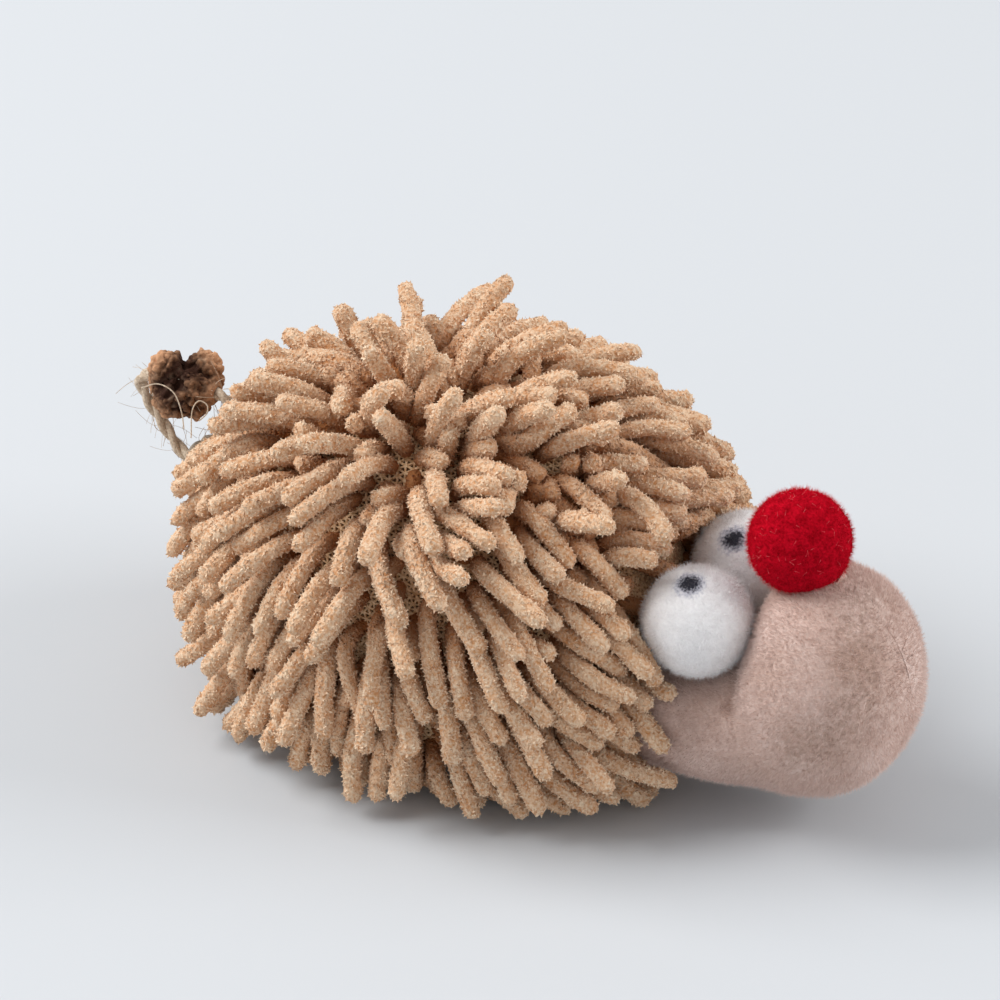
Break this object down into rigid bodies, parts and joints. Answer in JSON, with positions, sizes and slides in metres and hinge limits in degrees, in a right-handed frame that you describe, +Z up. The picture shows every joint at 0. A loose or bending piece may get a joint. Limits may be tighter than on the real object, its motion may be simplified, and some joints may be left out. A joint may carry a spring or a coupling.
{
  "type": "catnip toy",
  "caption": "Hedgehog-shaped cat toy stuffed with catnip: chenille noodle body, plush head, pompom eyes and nose, and a gall fruit on a springy twine tail.",
  "frame": {"origin": "centre of the flat rest face under the belly", "axes": "+X to the snout, +Y to the toy's left, +Z up"},
  "size_m": [0.1225, 0.0722, 0.0645],
  "materials": {
    "noodle_chenille": "crumbly velvet chenille, tan",
    "belly_plush": "short plush, pale",
    "head_plush": "short plush, pale pinkish white",
    "body_thread": "matte spun thread",
    "head_thread": "matte spun thread",
    "filling_fibre": "loose polyester fibre",
    "sachet_fleece": "heat-sealed fleece",
    "dried_leaf": "dry crumbled leaf",
    "eye_pompom": "fuzzy pompom, white with an ink dot",
    "nose_pompom": "fuzzy pompom, red",
    "hot_glue": "cloudy set glue",
    "jute_twine": "hairy two-ply twine",
    "gall_skin": "dried wrinkled skin"
  },
  "bodies": {
    "toy": {"back_panel_left": "noodle_chenille", "back_panel_right": "noodle_chenille", "belly_panel": "belly_plush", "spine_seam_thread": "body_thread", "rump_seam_thread": "body_thread", "belly_seam_thread": "body_thread", "body_filling": "filling_fibre", "catnip_sachet_upper": "sachet_fleece", "catnip_sachet_lower": "sachet_fleece", "catnip_leaf": "dried_leaf", "head_panel_left": "head_plush", "head_panel_right": "head_plush", "head_seam_thread": "head_thread", "head_filling": "filling_fibre", "neck_seam_thread": "head_thread", "eye_left": "eye_pompom", "eye_left_glue": "hot_glue", "eye_right": "eye_pompom", "eye_right_glue": "hot_glue", "nose_pompom": "nose_pompom", "nose_glue": "hot_glue"},
    "tail": {"tail_twine": "jute_twine", "tail_knot": "jute_twine"},
    "fruit": {"gall_fruit": "gall_skin"}
  },
  "joints": [
    {"name": "tail_swing", "type": "hinge", "parent": "toy", "child": "tail", "pos_m": [-0.0284, 0, 0.0269], "axis": [0, 1, 0], "range_deg": [-20, 15], "stiffness_Nm_per_rad": 0.0045},
    {"name": "fruit_turn", "type": "hinge", "parent": "tail", "child": "fruit", "pos_m": [-0.0452, 0, 0.0395], "axis": [1, 0, 0], "continuous": true}
  ]
}
